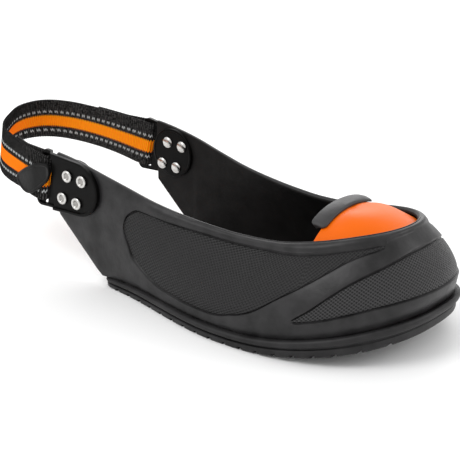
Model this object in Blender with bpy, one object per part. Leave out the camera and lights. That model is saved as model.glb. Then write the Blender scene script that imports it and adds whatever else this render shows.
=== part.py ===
"""Safety toe overshoe: rubber upper and sole, metal toe cap and a webbing heel strap.

Sizes are millimetres in the shoe's own layout: x = 0 at the sole's rear edge, +x to the toe,
near side at -y, z = 0 on the floor. Meshes are metres, and a parent empty centres the whole shoe.
"""
import math

import bmesh
import bpy
from mathutils import Vector

MM = 0.001
GAP = 0.3

# Sole sizes
SOLE_LENGTH = 205.6
SOLE_THICK = 10.6
REAR_HALF = 48.0
BALL_HALF = 66.3
BALL_X = 106.0
TOE_POWER = 2.42
CORNER_R = 10.0
SPRING_X = 112.0
TOE_SPRING = 16.5
TREAD_TUCK = 2.0
LUG_PITCH = 10.5
LUG_SLOT = 2.4
LUG_DEPTH = 1.7
LUG_FIRST = 14.0
LUG_COUNT = 18
RIB_SLOT_Y = 24.0
RIB_SLOT = 3.0

# Upper sizes
WALL = 2.8
RECESS = 0.9
WELT_INSET = 2.5
WELT_EXTRA = 1.2
WING_X = -34.0
WING_Y = 46.0
WING_RISE = 0.95
COLLAR_BALL_X = 125.0
COLLAR_TIP_X = 184.5
COLLAR_HALF = 39.7
COLLAR_POWER = 2.05
RIM_ROUND = 0.8

# Toe cap and its edge trim
CAP_GAP = 0.5
CAP_WALL = 2.0
CAP_START = 1.205
CAP_FOOT = 0.06
CAP_TOP = 0.96
CROWN_X = 143.5
CROWN_Z = 69.0
CROWN_POWER = 2.4
CROWN_SWELL = 2.0
TRIM_ENDS = (-25.8, 20.5)

# Strap, brackets and rivets
STRAP_WIDTH = 29.5
STRAP_THICK = 2.0
BAR_R = 2.8
BAR_X = -43.0
BAR_SLANT = 0.22
SLANT_END_X = -76.0
TAIL_END_NEAR = -79.0
TAIL_END_FAR = -87.0
BRACKET_BACK = 46.3
BRACKET_THICK = 2.6
BRACKET_LIP = 1.2
BRACKET_BEND = (-36.4, -39.6)
BRACKET_STEP = 3.2
BRACKET_REAR_X = -50.4
BRACKET_NOSE_X = -15.7
BRACKET_Z = 57.7
SLOT_LONG = 3.1
SLOT_HALF_Z = 16.6
PLATE_R = 15.9
PLATE_THICK = 1.6
PLATE_MID = (-19.6, 57.3)
RIVET_MID = (-19.7, 56.0)
RIVET_ROW = 11.8
RIVET_FALL = 0.9
RIVET_SKEW = 4.9
RIVET_RISE = 14.7
SHANK_R = 1.5
HOLE_R = 1.8
HEAD_R = 3.75
HEAD_HIGH = 1.6
BADGE_THICK = 1.8
BADGE_ROUND = 0.5
BADGE_X = -69.0
BADGE_Z = 57.5

# Bracket on the near side (-1) and the far side (1): nose radius, nose height, half height, slot front
BRACKETS = {-1: (16.6, 57.0, 18.4, -41.3), 1: (14.6, 56.2, 17.6, -39.3)}

# Collar edge: x, height, half width
COLLAR = [
    (-38, 75.6, 46.0),
    (-20, 73.2, 46.0),
    (0, 69.0, 46.0),
    (20, 64.1, 44.6),
    (40, 59.5, 43.5),
    (60, 56.6, 42.4),
    (80, 54.8, 41.2),
    (100, 54.0, 40.2),
    (125, 55.6, 39.7),
    (150, 60.5, 39.7),
    (170, 65.2, 39.7),
    (184.5, 68.0, 39.7),
]

# Swell of the wall: station, millimetres outward at mid height
SWELL = [(0, 0.0), (0.5, 3.5), (1, 6.0), (1.5, 8.2), (2, 9.4)]

# Panel lines up the wall: station, toe panel foot, toe panel head, side panel foot, side panel head
PANELS = [
    (-1.0, 0.10, 0.20, 0.34, 0.80),
    (0.10, 0.10, 0.20, 0.36, 0.80),
    (0.19, 0.10, 0.20, 0.44, 0.80),
    (0.25, 0.10, 0.19, 0.32, 0.85),
    (0.44, 0.05, 0.09, 0.165, 0.88),
    (0.61, 0.04, 0.07, 0.13, 0.905),
    (0.76, 0.04, 0.07, 0.125, 0.915),
    (0.96, 0.06, 0.10, 0.15, 0.92),
    (1.06, 0.11, 0.17, 0.265, 0.91),
    (1.15, 0.155, 0.205, 0.44, 0.90),
    (1.26, 0.196, 0.275, 0.588, 0.895),
    (1.38, 0.22, 0.46, 0.72, 0.90),
    (1.48, 0.25, 0.58, 0.80, 0.905),
    (1.63, 0.28, 0.68, 0.85, 0.90),
    (1.84, 0.29, 0.77, 0.86, 0.92),
    (2.0, 0.285, 0.79, 0.87, 0.93),
]
SIDE_PANEL = (0.19, 1.70)
TOE_PANEL_FROM = 1.26

# Height of the sole's side above its tread: x, height
SOLE_HIGH = [
    (0, 5.4),
    (28, 6.7),
    (60, 7.2),
    (90, 7.4),
    (112, 7.8),
    (130, 8.5),
    (145, 9.3),
    (160, 10.1),
    (175, 10.7),
    (190, 11.1),
    (206, 10.6),
]

# Sole edge from floor to top: inset from the outline, height where the sole is SOLE_THICK high
SOLE_EDGE = [
    (1.3, 0.0),
    (0.7, 0.8),
    (0.5, 4.6),
    (2.2, 5.2),
    (2.2, 5.8),
    (0.5, 6.4),
    (0.0, 8.0),
    (0.5, 9.6),
    (1.7, 10.6),
]

# Strap route seen from above, near side to far side: x, y, mid height, lean in degrees
STRAP = [
    (-45.5, -47.2, 58.2, 0),
    (-52, -47.0, 59.3, 0),
    (-60, -45.6, 60.4, 0),
    (-68, -43.5, 61.1, 1),
    (-76, -40.8, 61.4, 4),
    (-87, -36.4, 61.4, 6),
    (-99, -29.8, 61.2, 6),
    (-112, -19.0, 61.2, 8),
    (-124, -4.0, 61.8, 13),
    (-131, 8.0, 62.6, 16),
    (-133, 19.0, 63.1, 18),
    (-130, 30.0, 63.3, 17),
    (-122, 37.5, 63.2, 15),
    (-108, 42.4, 62.7, 12),
    (-90, 44.5, 61.8, 10),
    (-74, 44.8, 60.8, 7),
    (-60, 44.8, 59.6, 3),
    (-51, 44.8, 58.7, 0),
    (-43.5, 44.8, 58.1, 0),
]

# Badge on the near run of the strap: x from its rear end, low edge, high edge
BADGE = [
    (-1.0, -6.0, -2.8),
    (1.0, -8.0, -0.7),
    (5.0, -10.6, 1.9),
    (9.7, -11.5, 4.7),
    (14.9, -10.6, 7.1),
    (20.7, -7.2, 9.8),
    (25.0, -3.9, 10.9),
    (29.0, -0.6, 11.2),
    (31.2, 2.2, 10.5),
    (32.2, 5.2, 8.8),
]

SHOE_REAR_X = -138.4
MID_X = (SOLE_LENGTH + SHOE_REAR_X) / 2
SHOE = "shoe_centre"

# Finish: colour, roughness, metallic
FINISHES = {
    "moulded rubber": ((0.028, 0.027, 0.028), 0.55, 0.0),
    "sole rubber": ((0.035, 0.034, 0.034), 0.65, 0.0),
    "orange enamel": ((0.9, 0.17, 0.015), 0.25, 0.0),
    "webbing": ((0.02, 0.02, 0.021), 0.85, 0.0),
    "black plastic": ((0.008, 0.008, 0.009), 0.35, 0.0),
    "nickel": ((0.72, 0.71, 0.69), 0.25, 1.0),
}


def clear_scene():
    for item in list(bpy.data.objects):
        bpy.data.objects.remove(item, do_unlink=True)


def ease(a):
    a = min(1.0, max(0.0, a))
    return a * a * (3 - 2 * a)


def along(table, at, column):
    """Smooth curve through one column of a table, whose first column is the place."""
    xs = [row[0] for row in table]
    ys = [row[column] for row in table]
    if at <= xs[0]:
        return ys[0]
    if at >= xs[-1]:
        return ys[-1]
    i = max(k for k in range(len(xs) - 1) if xs[k] <= at)
    slopes = []
    for k in (i, i + 1):
        a = max(0, k - 1)
        b = min(len(xs) - 1, k + 1)
        slopes.append((ys[b] - ys[a]) / (xs[b] - xs[a]))
    span = xs[i + 1] - xs[i]
    t = (at - xs[i]) / span
    rise = (3 - 2 * t) * t * t
    lead = t * (1 - t) * (1 - t) * span * slopes[0]
    tail = t * t * (1 - t) * span * slopes[1]
    return ys[i] + (ys[i + 1] - ys[i]) * rise + lead - tail


def floor_z(x):
    lift = max(0.0, x - SPRING_X) / (SOLE_LENGTH - SPRING_X)
    return TOE_SPRING * lift * lift


def oval(angle, power, x0, x1, half):
    x = x0 + (x1 - x0) * math.sin(angle) ** (2 / power)
    y = half * max(0.0, math.cos(angle)) ** (2 / power)
    return x, y


def sole_outline(station, inset):
    """Half outline: stations 0 to 1 run along the side, 1 to 2 round the toe."""
    if station <= 1:
        half = REAR_HALF + (BALL_HALF - REAR_HALF) * ease(station)
        return BALL_X * station, half - inset
    angle = (station - 1) * math.pi / 2
    return oval(angle, TOE_POWER, BALL_X, SOLE_LENGTH - inset, BALL_HALF - inset)


def sole_top(x):
    """Height of the sole's side above its tread, which thins towards the rear edge."""
    return along(SOLE_HIGH, x, 1)


def wall_foot(station):
    if station < 0:
        x = -WING_X * station
        y = WING_Y + (REAR_HALF - WELT_INSET - WING_Y) * ease(1 + 8 * station)
        return Vector((x, y, sole_top(0) + GAP - WING_RISE * x))
    x, y = sole_outline(station, WELT_INSET + WELT_EXTRA * ease(station))
    return Vector((x, y, floor_z(x) + sole_top(x) + GAP))


def wall_collar(station):
    if station > 1:
        angle = (station - 1) * math.pi / 2
        x, y = oval(angle, COLLAR_POWER, COLLAR_BALL_X, COLLAR_TIP_X, COLLAR_HALF)
        return Vector((x, y, along(COLLAR, x, 1)))
    x = -WING_X * station if station < 0 else COLLAR_BALL_X * station
    return Vector((x, along(COLLAR, x, 2), along(COLLAR, x, 1)))


def outward(station):
    if station <= 0:
        return Vector((0, 1, 0))
    if station >= 2:
        return Vector((1, 0, 0))
    step = 0.001
    before = wall_foot(station - step) + wall_collar(station - step)
    after = wall_foot(station + step) + wall_collar(station + step)
    run = after - before
    return Vector((-run.y, run.x, 0)).normalized()


def wall_point(station, t):
    foot = wall_foot(station)
    swell = along(SWELL, station, 1) * 4 * t * (1 - t) * (1.15 - 0.3 * t)
    return foot.lerp(wall_collar(station), t) + outward(station) * swell


def wall_normal(station, t):
    if station <= -0.02:
        return Vector((0, 1, 0))
    step = 0.004
    low = max(0.0, t - step)
    high = min(1.0, t + step)
    up = wall_point(station, high) - wall_point(station, low)
    if station >= 2 - step:
        round_toe = Vector((0, -1, 0))
    else:
        round_toe = wall_point(station + step, t) - wall_point(station - step, t)
    return up.cross(round_toe).normalized()


def wall_inside(station, t, depth):
    """Point on a surface the given depth inside the wall, level with it at the foot."""
    point = wall_point(station, t)
    normal = wall_normal(station, t)
    if t < 0.1:
        normal = Vector((normal.x, normal.y, normal.z * t / 0.1)).normalized()
    return point - normal * depth


def mirror(point, side):
    return Vector((point.x, point.y * side, point.z))


def make_mesh(name, points, faces):
    """Mesh from points in millimetres, with its faces turned outward and shaded round."""
    mesh = bpy.data.meshes.new(name)
    mesh.from_pydata([[c * MM for c in p] for p in points], [], faces)
    form = bmesh.new()
    form.from_mesh(mesh)
    bmesh.ops.recalc_face_normals(form, faces=form.faces)
    form.to_mesh(mesh)
    form.free()
    mesh.shade_smooth()
    mesh.set_sharp_from_angle(angle=math.radians(35))
    return mesh


def place(name, mesh):
    """Object for a mesh, under the empty that centres the shoe."""
    item = bpy.data.objects.new(name, mesh)
    bpy.context.scene.collection.objects.link(item)
    item.parent = bpy.data.objects[SHOE]
    return item


def make_object(name, points, faces):
    return place(name, make_mesh(name, points, faces))


def paint(item, finish):
    """One plain material per object, shared by the objects with the same finish."""
    material = bpy.data.materials.get(finish)
    if material is None:
        colour, roughness, metal = FINISHES[finish]
        material = bpy.data.materials.new(finish)
        material.use_nodes = True
        shader = material.node_tree.nodes["Principled BSDF"]
        shader.inputs["Base Color"].default_value = (*colour, 1)
        shader.inputs["Roughness"].default_value = roughness
        shader.inputs["Metallic"].default_value = metal
    item.data.materials.append(material)


def loft_faces(rings):
    """Points and faces of closed rings joined in order, with flat end faces."""
    count = len(rings[0])
    points = [p for ring in rings for p in ring]
    faces = []
    for r in range(len(rings) - 1):
        for k in range(count):
            n = (k + 1) % count
            a = r * count
            b = a + count
            faces.append((a + k, a + n, b + n, b + k))
    faces.append(tuple(range(count)))
    faces.append(tuple(range(len(points) - count, len(points))))
    return points, faces


def loft(name, rings):
    return make_object(name, *loft_faces(rings))


def cut(item, cutter):
    """Takes the cutter's shape out of an object."""
    cutter.hide_render = True
    cutter.display_type = "WIRE"
    change = item.modifiers.new("Cut", "BOOLEAN")
    change.operation = "DIFFERENCE"
    change.solver = "EXACT"
    change.object = cutter


def spread(first, last, count):
    return [first + (last - first) * k / (count - 1) for k in range(count)]


def panel_rows(station):
    """Heights up the outside of the wall, each with how far the surface is set in there."""
    toe_foot, toe_head, side_foot, side_head = [along(PANELS, station, c) for c in (1, 2, 3, 4)]
    step = 0.35 / (wall_collar(station) - wall_foot(station)).length
    toe_in = RECESS if station >= TOE_PANEL_FROM else 0.0
    side_in = RECESS if SIDE_PANEL[0] <= station <= SIDE_PANEL[1] else 0.0
    rows = [(0.0, 0.0), (toe_foot - step, 0.0)]
    rows += [(t, toe_in) for t in spread(toe_foot + step, toe_head - step, 4)]
    rows += [(toe_head + step, 0.0), (side_foot - step, 0.0)]
    rows += [(t, side_in) for t in spread(side_foot + step, side_head - step, 5)]
    rows += [(side_head + step, 0.0), (1.0, 0.0)]
    return rows


def upper_ring(station, side):
    ring = []
    for t, depth in panel_rows(station):
        ring.append(wall_inside(station, t, depth))
    rim = wall_inside(station, 1.0, WALL / 2)
    ring.append(rim + Vector((0, 0, RIM_ROUND)))
    for t in (1.0, 0.8, 0.6, 0.4, 0.2, 0.1, 0.0):
        ring.append(wall_inside(station, t, WALL))
    return [mirror(p, side) for p in ring]


def make_upper():
    half = spread(-1, -0.12, 5) + spread(0, 0.18, 3) + spread(0.19, 0.31, 3)
    half += spread(0.37, 1.0, 11) + spread(1.05, 1.24, 4) + spread(1.26, 1.70, 9)
    half += spread(1.72, 2.0, 6)
    rings = [upper_ring(s, -1) for s in half]
    rings += [upper_ring(s, 1) for s in reversed(half[:-1])]
    upper = loft("upper", rings)
    cut(upper, rivet_cutters("cut_upper", 30.0, 60.0))
    return upper


def sole_loop(inset, height):
    """One closed line round the sole, near rear corner to toe to far rear corner."""
    corner = []
    for k in range(5):
        turn = k / 4 * math.pi / 2
        x = inset + CORNER_R * (1 - math.sin(turn))
        y = REAR_HALF - inset - CORNER_R * (1 - math.cos(turn))
        corner.append((x, y))
    corner.reverse()
    first = (inset + CORNER_R) / BALL_X
    side = [sole_outline(s, inset) for s in spread(first, 1.0, 15)[1:]]
    tuck = TREAD_TUCK if height < 5 else 0.0
    toe = [sole_outline(s, inset + tuck * ease(s - 1)) for s in spread(1.0, 2.0, 22)[1:]]
    half = corner + side + toe
    share = height / SOLE_THICK
    loop = [(x, -y, floor_z(x) + share * sole_top(x)) for x, y in half]
    loop += [(x, y, floor_z(x) + share * sole_top(x)) for x, y in reversed(half[:-1])]
    return loop


def make_outsole():
    loops = [sole_loop(inset, height) for inset, height in SOLE_EDGE]
    count = len(loops[0])
    points = [p for loop in loops for p in loop]
    faces = []
    for r in range(len(loops) - 1):
        for k in range(count):
            n = (k + 1) % count
            faces.append((r * count + k, r * count + n, (r + 1) * count + n, (r + 1) * count + k))
    top = (len(loops) - 1) * count
    for base in (0, top):
        for k in range(count // 2):
            other = count - 1 - k
            if other - 1 == k + 1:
                faces.append((base + k, base + k + 1, base + other))
            else:
                faces.append((base + k, base + k + 1, base + other - 1, base + other))
    outsole = make_object("outsole", points, faces)
    cut(outsole, lug_cutters())
    cut(outsole, rib_cutters())
    return outsole


def box(points, faces, x0, x1, y0, y1, bottom, top0, top1):
    """Adds a block whose top slopes from top0 at x0 to top1 at x1."""
    n = len(points)
    for x, top in ((x0, top0), (x1, top1)):
        points += [(x, y0, bottom), (x, y1, bottom), (x, y1, top), (x, y0, top)]
    faces += [(n, n + 1, n + 2, n + 3), (n + 4, n + 5, n + 6, n + 7)]
    for k in range(4):
        j = (k + 1) % 4
        faces.append((n + k, n + j, n + 4 + j, n + 4 + k))


def lug_cutters():
    points = []
    faces = []
    for k in range(LUG_COUNT):
        x0 = LUG_FIRST + LUG_PITCH * k
        x1 = x0 + LUG_SLOT
        box(points, faces, x0, x1, -80, 80, -5, floor_z(x0) + LUG_DEPTH, floor_z(x1) + LUG_DEPTH)
    return make_object("cut_lugs", points, faces)


def rib_cutters():
    points = []
    faces = []
    for y in (-RIB_SLOT_Y, RIB_SLOT_Y):
        y0 = y - RIB_SLOT / 2
        box(points, faces, -5, SPRING_X - 8, y0, y0 + RIB_SLOT, -5, LUG_DEPTH - 0.5, LUG_DEPTH - 0.5)
    return make_object("cut_ribs", points, faces)


def cap_line(station):
    """Profile of the cap's outside from its foot up the wall and over the dome to the crown."""
    depth = WALL + CAP_GAP
    line = [wall_inside(station, t, depth) for t in (CAP_FOOT, 0.2, 0.4, 0.6, 0.8, CAP_TOP)]
    rim = line[-1]
    crown = Vector((CROWN_X, 0, CROWN_Z))
    ahead = ease(2.5 * (station - CAP_START) / (2 - CAP_START))
    for f in (0.07, 0.16, 0.28, 0.42, 0.58, 0.75, 0.9):
        point = rim.lerp(crown, f)
        rise = 1 - (1 - f) ** CROWN_POWER
        swell = CROWN_SWELL * ahead * math.sin(math.pi * f) ** 2
        point.z = rim.z + (CROWN_Z - rim.z) * rise + swell
        line.append(point)
    return line


def make_toe_cap():
    half = spread(CAP_START, 2.0, 11)
    lines = [[mirror(p, -1) for p in cap_line(s)] for s in half]
    lines += [cap_line(s) for s in reversed(half[:-1])]
    count = len(lines[0])
    points = [p for line in lines for p in line]
    points.append((CROWN_X, 0, CROWN_Z))
    crown = len(points) - 1
    faces = []
    for r in range(len(lines) - 1):
        for k in range(count - 1):
            a = r * count + k
            b = a + count
            faces.append((a, a + 1, b + 1, b))
        faces.append((r * count + count - 1, crown, (r + 1) * count + count - 1))
    cap = make_object("toe_cap", points, faces)
    shell = cap.modifiers.new("Shell", "SOLIDIFY")
    shell.thickness = CAP_WALL * MM
    shell.offset = -1
    shell.use_even_offset = True
    return cap


def make_trim():
    """Rubber strip over the middle of the cap's rear edge, reaching back like a small visor."""
    under = [(2.8, 1.0), (-0.9, 0.8), (-4.6, -1.2)]
    top = [(-6.9, 1.8), (-6.2, 2.8), (-2.0, 3.0), (1.6, 2.4), (2.6, 1.7)]
    rim = cap_line(CAP_START)[5]
    rings = []
    for y in spread(*TRIM_ENDS, 17):
        f = 1 - abs(y) / rim.y
        base_x = rim.x + (CROWN_X - rim.x) * f
        rise = 1 - (1 - f) ** CROWN_POWER
        z = rim.z + (CROWN_Z - rim.z) * rise
        slope = (CROWN_Z - rim.z) * CROWN_POWER * (1 - f) ** (CROWN_POWER - 1) / rim.y
        tilt = math.atan(slope) * (1 if y > 0 else -1)
        side = (y / rim.y) ** 2
        to_end = min(y - TRIM_ENDS[0], TRIM_ENDS[1] - y)
        end = 1 - 0.08 * max(0.0, 1 - to_end / 3.5)
        ring = []
        for dx, up in under + top:
            high = up * end if up > 1.5 else up
            if dx > 0:
                high -= 0.8 * side * (high - 1)
            else:
                high -= 0.1 * side * dx
            ring.append((base_x + dx * end, y + high * math.sin(tilt), z + high * math.cos(tilt)))
        rings.append(ring)
    return loft("cap_trim", rings)


def strap_path():
    """Centre line of the webbing from one folded tail to the other: point, outward, lean."""
    main = []
    places = [0.0]
    for k in range(1, len(STRAP)):
        a = STRAP[k - 1]
        b = STRAP[k]
        places.append(places[-1] + math.hypot(b[0] - a[0], b[1] - a[1]))
    table = [(d,) + row for d, row in zip(places, STRAP)]
    for d in spread(0, places[-1], 41):
        main.append([along(table, d, c) for c in (1, 2, 3, 4)])
    path = []
    for k, (x, y, z, lean) in enumerate(main):
        a = main[max(0, k - 1)]
        b = main[min(len(main) - 1, k + 1)]
        run = Vector((b[0] - a[0], b[1] - a[1], 0)).normalized()
        path.append((Vector((x, y, z)), Vector((-run.y, run.x, 0)), lean))
    return path


def tail_path(path, way, end_x):
    """Fold round the bracket's bar, then the tail inside (-1) or outside (1) the main run."""
    start, out, lean = path[0]
    centre = start + out * way * BAR_R
    first = math.atan2(-out.y * way, -out.x * way)
    last = math.radians(98)
    tail = []
    for k in range(1, 9):
        turn = first + (last - first) * k / 8
        ray = Vector((math.cos(turn), math.sin(turn), 0))
        tail.append((centre + ray * BAR_R, ray * -way, 0))
    for point, normal, lean in path[1:]:
        if point.x < end_x:
            break
        spare = min(1.0, max(0.0, 1 - (start.x - point.x - 7) / 12))
        away = STRAP_THICK + GAP + (2 * BAR_R - STRAP_THICK - GAP) * spare
        tail.append((point + normal * way * away, -normal, -lean))
    return tail


def slant_at(x):
    """How far the webbing's top edge leads its bottom edge, per millimetre of its width."""
    return BAR_SLANT * ease((x - SLANT_END_X) / (BAR_X - SLANT_END_X))


def webbing(point, normal, lean):
    """Half width and half thickness of the webbing at one place, as vectors."""
    turn = math.radians(lean)
    wide = Vector((slant_at(point.x), 0, math.cos(turn))) - normal * math.sin(turn)
    thick = normal * math.cos(turn) + Vector((0, 0, math.sin(turn)))
    return wide * (STRAP_WIDTH / 2), thick * (STRAP_THICK / 2)


def make_strap():
    main = strap_path()
    near = tail_path(main, -1, TAIL_END_NEAR)
    far = tail_path(main[::-1], 1, TAIL_END_FAR)
    route = near[::-1] + main + far
    rings = []
    for point, normal, lean in route:
        wide, thick = webbing(point, normal, lean)
        high = point + wide
        low = point - wide
        rings.append([high + thick, high - thick, low - thick, low + thick])
    return loft("strap", rings)


def bracket_outline(side, inset):
    """Round nose towards the toe and a square loop end towards the strap."""
    nose_r, nose_z, half_z, _ = BRACKETS[side]
    line = []
    nose = nose_r - inset
    for k in range(17):
        turn = math.radians(-88 + 176 * k / 16)
        line.append((BRACKET_NOSE_X + nose * math.cos(turn), nose_z + nose * math.sin(turn)))
    rear = BRACKET_REAR_X + inset
    half = half_z - inset
    corner = 4.0
    for end, first in ((1, 90), (-1, 180)):
        middle_x = rear + corner + BAR_SLANT * end * (half - corner)
        middle_z = BRACKET_Z + end * (half - corner)
        for k in range(5):
            turn = math.radians(first + 90 * k / 4)
            line.append((middle_x + corner * math.cos(turn), middle_z + corner * math.sin(turn)))
    return line


def bend(item, side):
    """Steps the bracket's loop end in, so that the outer layer of the strap lies level with it."""
    form = bmesh.new()
    form.from_mesh(item.data)
    start, stop = [x * MM for x in BRACKET_BEND]
    for place in (start, stop):
        parts = form.verts[:] + form.edges[:] + form.faces[:]
        bmesh.ops.bisect_plane(form, geom=parts, plane_co=(place, 0, 0), plane_no=(1, 0, 0))
    for corner in form.verts:
        share = min(1.0, max(0.0, (start - corner.co.x) / (start - stop)))
        corner.co.y -= side * BRACKET_STEP * MM * share
    form.to_mesh(item.data)
    form.free()


def make_bracket(name, side):
    front = BRACKET_BACK + BRACKET_THICK
    levels = [(0.0, BRACKET_BACK), (0.0, front - 0.5), (0.6, front), (1.9, front)]
    levels.append((2.4, front - BRACKET_LIP))
    rings = []
    for inset, y in levels:
        rings.append([(x, side * y, z) for x, z in bracket_outline(side, inset)])
    bracket = loft(name, rings)
    if side < 0:
        bend(bracket, side)
    points = []
    faces = []
    front_x = BRACKETS[side][3]
    rear_x = front_x - SLOT_LONG
    box(points, faces, rear_x, front_x, side * 40, side * 55, -SLOT_HALF_Z, SLOT_HALF_Z, SLOT_HALF_Z)
    points = [(x + BAR_SLANT * z, y, BRACKET_Z + z) for x, y, z in points]
    cut(bracket, make_object("cut_slot_" + name, points, faces))
    cut(bracket, rivet_cutters("cut_" + name, 40.0, 55.0, side))
    return bracket


def rivet_places():
    places = []
    for row in (-0.5, 0.5):
        for column in (-0.5, 0.5):
            x = RIVET_MID[0] + RIVET_ROW * column + RIVET_SKEW * row
            places.append((x, RIVET_MID[1] + RIVET_RISE * row - RIVET_FALL * column))
    return places


def circle(x, z, radius, y, count):
    turns = [2 * math.pi * k / count for k in range(count)]
    return [(x + radius * math.cos(a), y, z + radius * math.sin(a)) for a in turns]


def rivet_cutters(name, inner, outer, only=None):
    """Round bars for the rivet holes, on both sides of the shoe or on one."""
    points = []
    faces = []
    count = 12
    for side in (-1, 1) if only is None else (only,):
        for x, z in rivet_places():
            n = len(points)
            points += circle(x, z, HOLE_R, side * inner, count)
            points += circle(x, z, HOLE_R, side * outer, count)
            faces.append(tuple(range(n, n + count)))
            faces.append(tuple(range(n + count, n + 2 * count)))
            for k in range(count):
                j = (k + 1) % count
                faces.append((n + k, n + j, n + count + j, n + count + k))
    return make_object(name, points, faces)


def make_plate(name, side):
    outer = WING_Y - WALL - GAP
    inner = outer - PLATE_THICK
    x, z = PLATE_MID
    rings = [circle(x, z, PLATE_R, side * outer, 28), circle(x, z, PLATE_R, side * (inner + 0.5), 28)]
    rings.append(circle(x, z, PLATE_R - 0.5, side * inner, 28))
    plate = loft(name, rings)
    cut(plate, rivet_cutters("cut_" + name, 35.0, 45.0, side))
    return plate


def rivet_mesh():
    """One turned rivet along +y: ring head outside with a sunk middle, dome head inside."""
    seat = BRACKET_BACK + BRACKET_THICK - BRACKET_LIP + GAP
    inner = WING_Y - WALL - 2 * GAP - PLATE_THICK
    profile = [
        (1.4, seat + 0.5),
        (2.1, seat + 1.4),
        (2.9, seat + HEAD_HIGH),
        (3.5, seat + 1.2),
        (HEAD_R, seat),
        (SHANK_R, seat),
        (SHANK_R, inner),
        (HEAD_R, inner),
        (3.1, inner - 1.1),
        (1.5, inner - HEAD_HIGH),
    ]
    rings = [circle(0, 0, radius, y - WING_Y, 12) for radius, y in profile]
    return make_mesh("rivet", *loft_faces(rings))


def make_rivets(word, side):
    mesh = bpy.data.meshes.get("rivet") or rivet_mesh()
    rivets = []
    for k, (x, z) in enumerate(rivet_places()):
        rivet = place("rivet_" + word + "_" + str(k + 1), mesh)
        rivet.location = (x * MM, side * WING_Y * MM, z * MM)
        rivet.rotation_euler.z = 0 if side > 0 else math.pi
        rivets.append(rivet)
    return rivets


def make_badge():
    """Patch that follows the near run of the strap."""
    run = sorted(STRAP[:6])
    rings = []
    for ahead, low, high in BADGE:
        x = BADGE_X + ahead
        inner = along(run, x, 1) - STRAP_THICK / 2 - 2 * GAP
        outer = inner - BADGE_THICK
        side = [(inner, 0.0), (outer + BADGE_ROUND, 0.0), (outer, BADGE_ROUND)]
        ring = [(x, y, BADGE_Z + low + step) for y, step in side]
        ring += [(x, y, BADGE_Z + high - step) for y, step in reversed(side)]
        rings.append(ring)
    return loft("strap_badge", rings)


def main():
    clear_scene()
    centre = bpy.data.objects.new(SHOE, None)
    centre.location.x = -MID_X * MM
    bpy.context.scene.collection.objects.link(centre)
    paint(make_outsole(), "sole rubber")
    paint(make_upper(), "moulded rubber")
    paint(make_toe_cap(), "orange enamel")
    paint(make_trim(), "moulded rubber")
    paint(make_strap(), "webbing")
    paint(make_badge(), "black plastic")
    for word, side in (("near", -1), ("far", 1)):
        paint(make_bracket("bracket_" + word, side), "black plastic")
        paint(make_plate("backing_plate_" + word, side), "black plastic")
        rivets = make_rivets(word, side)
        if side < 0:
            paint(rivets[0], "nickel")


main()
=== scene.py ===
"""Looks of the safety toe overshoe: fine meshes and finishes over the fixed frame.

Shapes are worked out in millimetres in the shoe's own layout: x = 0 at the sole's rear edge, +x to the
toe, the near side at -y and z = 0 on the floor. placed() turns such a point into one of the frame.
"""
import functools
import math

import bpy
from mathutils import Matrix, Vector


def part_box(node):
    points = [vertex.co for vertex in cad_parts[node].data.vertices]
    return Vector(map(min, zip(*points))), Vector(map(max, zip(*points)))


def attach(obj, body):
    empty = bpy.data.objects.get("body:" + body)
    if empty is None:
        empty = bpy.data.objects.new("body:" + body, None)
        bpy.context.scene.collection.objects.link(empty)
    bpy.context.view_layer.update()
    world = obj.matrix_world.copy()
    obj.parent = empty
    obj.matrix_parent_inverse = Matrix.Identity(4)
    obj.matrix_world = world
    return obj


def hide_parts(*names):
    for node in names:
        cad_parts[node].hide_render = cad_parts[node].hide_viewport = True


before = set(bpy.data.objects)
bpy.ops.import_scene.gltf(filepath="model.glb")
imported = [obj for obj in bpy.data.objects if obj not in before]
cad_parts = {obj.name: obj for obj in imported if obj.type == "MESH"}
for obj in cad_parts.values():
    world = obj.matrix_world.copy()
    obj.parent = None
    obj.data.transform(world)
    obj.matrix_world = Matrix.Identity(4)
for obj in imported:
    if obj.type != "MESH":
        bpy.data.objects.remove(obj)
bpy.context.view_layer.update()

MM = 0.001
SOLE_LOW, SOLE_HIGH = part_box("outsole")
REAR_X = SOLE_LOW.x

# Sole sizes
SOLE_LENGTH = (SOLE_HIGH.x - SOLE_LOW.x) / MM
BALL_HALF = SOLE_HIGH.y / MM
SOLE_THICK = 10.6
REAR_HALF = 48.0
BALL_X = 106.0
TOE_POWER = 2.42
CORNER_R = 10.0
SPRING_X = 112.0
TOE_SPRING = 16.5
TREAD_TUCK = 2.0
TREAD_TOP = 5.0
LUG_PITCH = 10.5
LUG_SLOT = 2.4
LUG_DEPTH = 1.7
LUG_FIRST = 14.0
LUG_COUNT = 18
RIB_SLOT_Y = 24.0
RIB_SLOT = 3.0
RIB_SLOT_ENDS = (-5.0, 104.0)
RIB_SLOT_DEPTH = 1.2
CUTTER_WIDE = 160.0
CUTTER_TALL = 20.0
BEAD_MID = 8.25
BEAD_HALF = 2.25
BEAD_BULGE = 1.9
BEAD_ROUND = 0.86
TOP_INSET = 2.6

# Upper sizes
WALL = 2.8
WELT_INSET = 2.5
WELT_EXTRA = 1.2
WELT_SINK = 0.15
WING_X = -34.0
WING_Y = 46.0
WING_RISE = 0.95
COLLAR_BALL_X = 125.0
COLLAR_TIP_X = 184.5
COLLAR_HALF = 39.7
COLLAR_POWER = 2.05
WING_ROUND = 0.9
RIM_HIGH = 1.0
RIM_ROLL = 1.05
ROLL_START = 0.1
ROLL_EASE = 0.3
GROOVE_ROOM = 0.72
GROOVE_FADE = 1.6

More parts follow.
